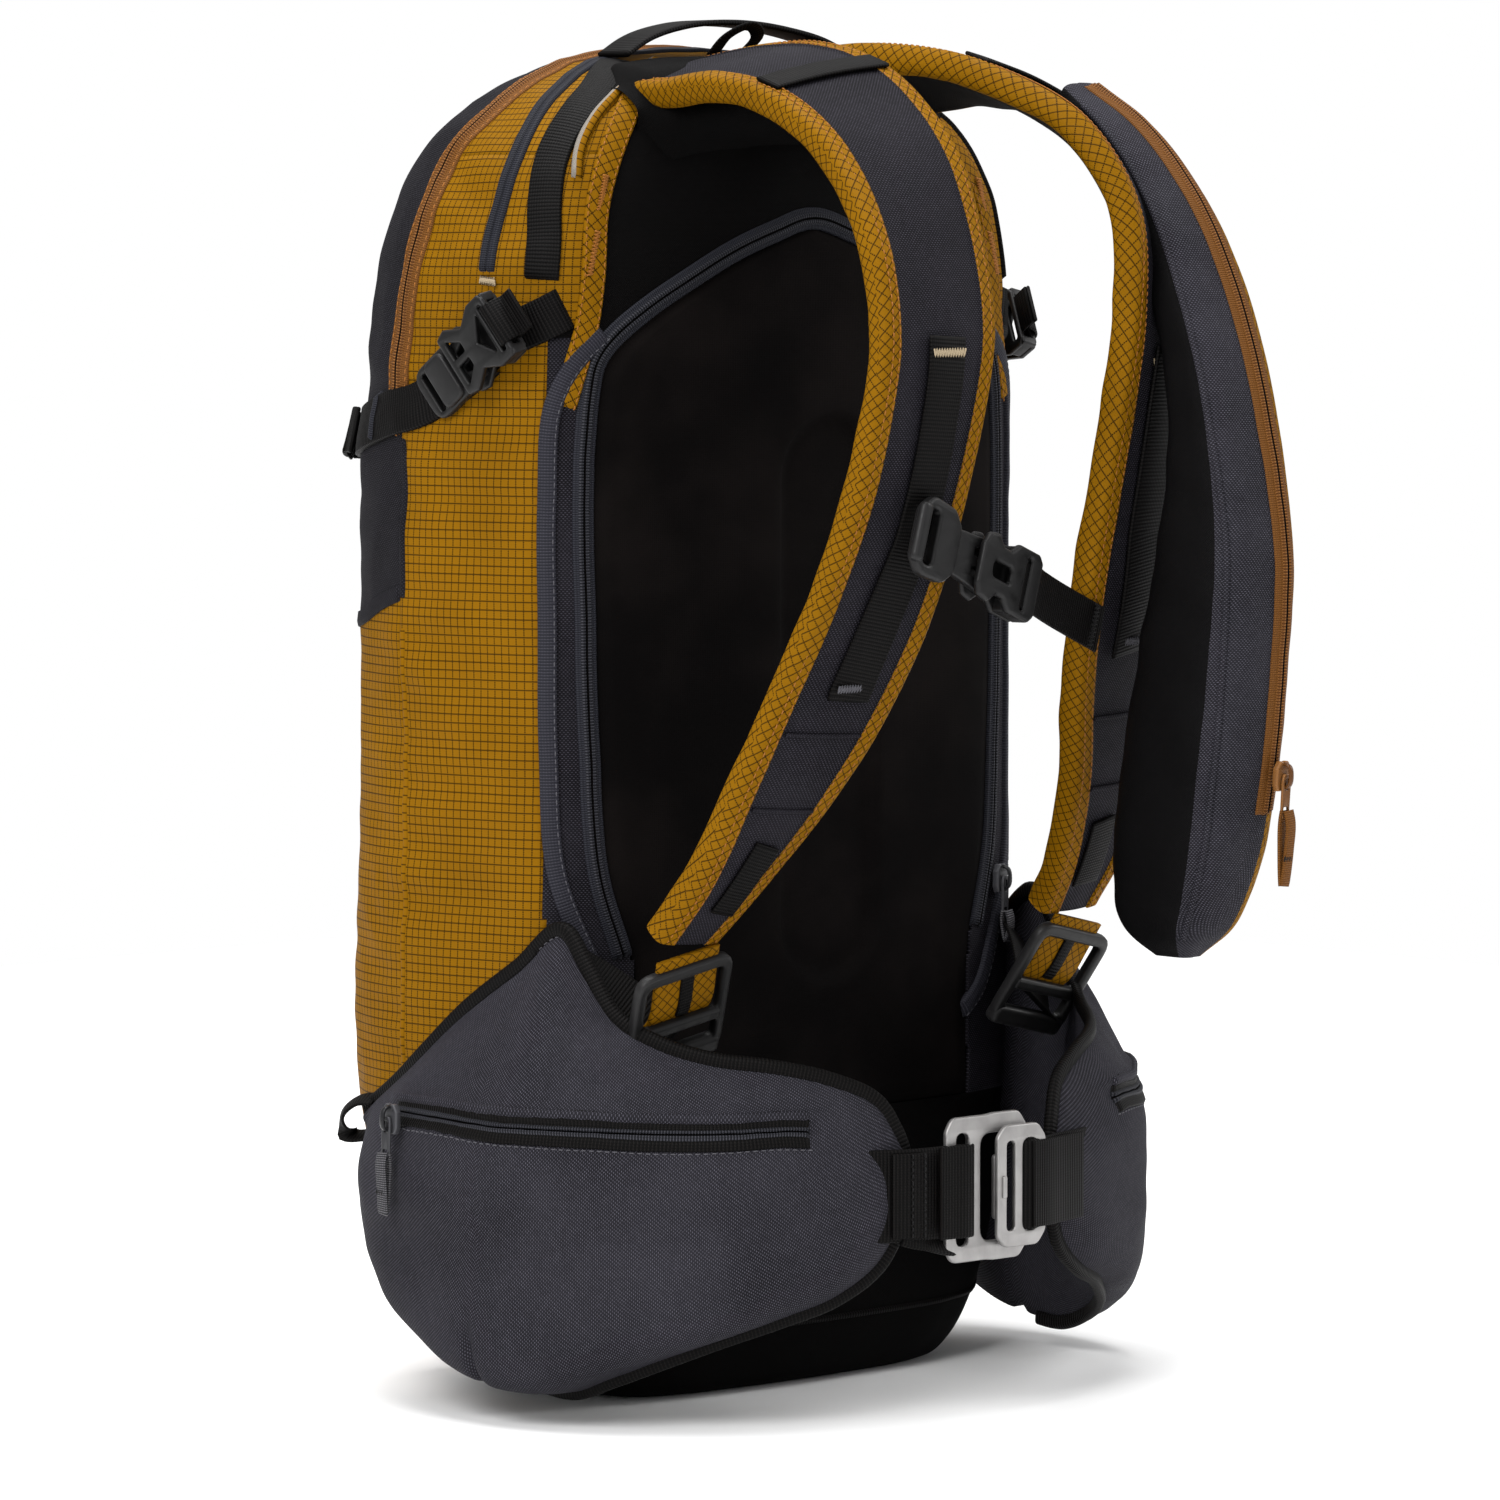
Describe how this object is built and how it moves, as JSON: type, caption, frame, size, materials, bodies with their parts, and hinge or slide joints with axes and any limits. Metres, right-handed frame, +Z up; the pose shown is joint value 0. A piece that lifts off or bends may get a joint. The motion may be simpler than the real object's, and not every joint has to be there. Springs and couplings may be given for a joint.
{
  "type": "ski touring backpack",
  "caption": "Ski touring backpack with zipped back panel, padded harness, hose sleeve, hip pockets and hook belt buckle.",
  "frame": {"origin": "on the floor under the middle of the bag, at the base's flat face", "axes": "+Z up, -Y towards the wearer's side where the harness is, -X towards the wearer's right"},
  "size_m": [0.3588, 0.3651, 0.556],
  "materials": {
    "yellow_ripstop": "ripstop weave, matt",
    "grey_cloth": "coated plain weave, matt",
    "black_cloth": "plain weave, matt",
    "back_mesh": "brushed stretch mesh",
    "webbing": "woven webbing",
    "zip_grey": "coil zip",
    "zip_brown": "coil zip",
    "buckle_plastic": "moulded acetal",
    "sheet_plastic": "flat polyethylene sheet",
    "aluminium": "bead blasted",
    "slider_metal": "dark coating",
    "pull_cord": "braided cord",
    "lining": "lining cloth"
  },
  "bodies": {
    "root": {"base_panel": "black_cloth", "left_side_panel": "yellow_ripstop", "right_side_panel": "yellow_ripstop", "lower_front_panel": "yellow_ripstop", "tool_pocket_panel": "grey_cloth", "top_panel": "yellow_ripstop", "lumbar_panel": "black_cloth", "upper_back_panel": "black_cloth", "left_back_border": "yellow_ripstop", "right_back_border": "yellow_ripstop", "compartment_divider": "lining", "hydration_sleeve": "lining", "reservoir_hanger": "buckle_plastic", "back_panel_zip": "zip_grey", "tool_pocket_zip": "zip_brown", "top_pocket_zip": "zip_grey", "yoke": "black_cloth", "right_lower_webbing": "webbing", "left_lower_webbing": "webbing", "right_hip_fairing": "grey_cloth", "left_hip_fairing": "grey_cloth", "compression_strap": "webbing", "right_compression_buckle": "buckle_plastic", "left_compression_buckle": "buckle_plastic", "right_ski_loop": "webbing", "left_ski_loop": "webbing"},
    "back_panel": {"back_panel_pad": "back_mesh", "frame_sheet": "sheet_plastic", "frame_stay": "aluminium"},
    "haul_loop": {"haul_loop": "webbing"},
    "harness": {"right_shoulder_strap": "grey_cloth", "left_shoulder_strap": "grey_cloth", "right_sternum_rail": "webbing", "left_sternum_rail": "webbing", "hose_sleeve": "grey_cloth", "sleeve_zip": "zip_brown", "sternum_slider_male": "buckle_plastic", "sternum_webbing": "webbing", "sternum_anchor": "webbing"},
    "sternum_female": {"sternum_female": "buckle_plastic"},
    "right_adjuster": {"right_adjuster": "buckle_plastic"},
    "left_adjuster": {"left_adjuster": "buckle_plastic"},
    "right_wing": {"right_wing_pad": "grey_cloth", "right_wing_pocket": "grey_cloth", "right_belt_webbing": "webbing", "belt_loop_plate": "aluminium"},
    "left_wing": {"left_wing_pad": "grey_cloth", "left_wing_pocket": "grey_cloth", "left_belt_webbing": "webbing"},
    "hook_plate": {"belt_hook_plate": "aluminium"},
    "right_pocket_slider": {"right_pocket_slider": "slider_metal"},
    "right_pocket_puller": {"right_pocket_puller": "pull_cord"},
    "left_pocket_slider": {"left_pocket_slider": "slider_metal"},
    "left_pocket_puller": {"left_pocket_puller": "pull_cord"},
    "sleeve_slider": {"sleeve_slider": "slider_metal"},
    "sleeve_puller": {"sleeve_puller": "pull_cord"},
    "back_zip_slider": {"back_zip_slider": "slider_metal"},
    "back_zip_puller": {"back_zip_puller": "pull_cord"},
    "tool_zip_slider": {"tool_zip_slider": "slider_metal"},
    "tool_zip_puller": {"tool_zip_puller": "pull_cord"}
  },
  "joints": [
    {"name": "back_panel_open", "type": "hinge", "parent": "root", "child": "back_panel", "pos_m": [0, -0.095, 0.11], "axis": [1, 0, 0], "range_deg": [0, 10]},
    {"name": "haul_loop_tilt", "type": "hinge", "parent": "root", "child": "haul_loop", "pos_m": [0, -0.045, 0.5455], "axis": [1, 0, 0], "range_deg": [-12, 12], "stiffness_Nm_per_rad": 0.02},
    {"name": "harness_lift", "type": "hinge", "parent": "root", "child": "harness", "pos_m": [0, -0.086, 0.529], "axis": [-1, 0, 0], "range_deg": [0, 15], "deforming": ["right_lower_webbing", "left_lower_webbing"]},
    {"name": "sternum_release", "type": "slide", "parent": "harness", "child": "sternum_female", "axis": [0.9313, 0.1559, -0.3292], "range_m": [0, 0.024], "deforming": ["sternum_webbing"]},
    {"name": "right_adjuster_tilt", "type": "hinge", "parent": "harness", "child": "right_adjuster", "pos_m": [-0.1077, -0.137, 0.18], "axis": [-0.9703, 0.1136, -0.2136], "range_deg": [0, 25]},
    {"name": "left_adjuster_tilt", "type": "hinge", "parent": "harness", "child": "left_adjuster", "pos_m": [0.1077, -0.137, 0.18], "axis": [-0.9703, -0.1136, 0.2136], "range_deg": [0, 25]},
    {"name": "right_wing_swing", "type": "hinge", "parent": "root", "child": "right_wing", "pos_m": [-0.172, -0.066, 0.09], "axis": [0, 0, -1], "range_deg": [0, 40]},
    {"name": "left_wing_swing", "type": "hinge", "parent": "root", "child": "left_wing", "pos_m": [0.172, -0.066, 0.09], "axis": [0, 0, 1], "range_deg": [0, 40]},
    {"name": "hook_plate_swing", "type": "hinge", "parent": "left_wing", "child": "hook_plate", "pos_m": [0.0207, -0.2046, 0.091], "axis": [0, 0, 1], "range_deg": [0, 50]},
    {"name": "right_pocket_zip", "type": "slide", "parent": "root", "child": "right_pocket_slider", "axis": [0, -1, 0], "range_m": [0, 0.024]},
    {"name": "right_pocket_pull", "type": "hinge", "parent": "right_pocket_slider", "child": "right_pocket_puller", "pos_m": [-0.17735, -0.034, 0.116], "axis": [0, 1, 0], "range_deg": [0, 80]},
    {"name": "left_pocket_zip", "type": "slide", "parent": "root", "child": "left_pocket_slider", "axis": [0, -1, 0], "range_m": [0, 0.024]},
    {"name": "left_pocket_pull", "type": "hinge", "parent": "left_pocket_slider", "child": "left_pocket_puller", "pos_m": [0.17735, -0.034, 0.116], "axis": [0, -1, 0], "range_deg": [0, 80]},
    {"name": "sleeve_zip_run", "type": "slide", "parent": "harness", "child": "sleeve_slider", "axis": [0, -0.0698, 0.9976], "range_m": [0, 0.03]},
    {"name": "sleeve_pull", "type": "hinge", "parent": "sleeve_slider", "child": "sleeve_puller", "pos_m": [0.089, -0.27495, 0.254], "axis": [-1, 0, 0], "range_deg": [0, 80]},
    {"name": "back_zip_run", "type": "slide", "parent": "root", "child": "back_zip_slider", "axis": [0, 0, 1], "range_m": [0, 0.17]},
    {"name": "back_zip_pull", "type": "hinge", "parent": "back_zip_slider", "child": "back_zip_puller", "pos_m": [0.1257, -0.0861, 0.2], "axis": [-0.9272, -0.3746, 0], "range_deg": [0, 80]},
    {"name": "tool_zip_run", "type": "slide", "parent": "root", "child": "tool_zip_slider", "axis": [-0.06, -0.1241, 0.9905], "range_m": [0, 0.024]},
    {"name": "tool_zip_pull", "type": "hinge", "parent": "tool_zip_slider", "child": "tool_zip_puller", "pos_m": [0.14875, 0.0015, 0.44], "axis": [0, -1, 0], "range_deg": [0, 80]}
  ],
  "couplings": [
    {"joint": "left_wing_swing", "follows": "right_wing_swing", "ratio": 1}
  ]
}
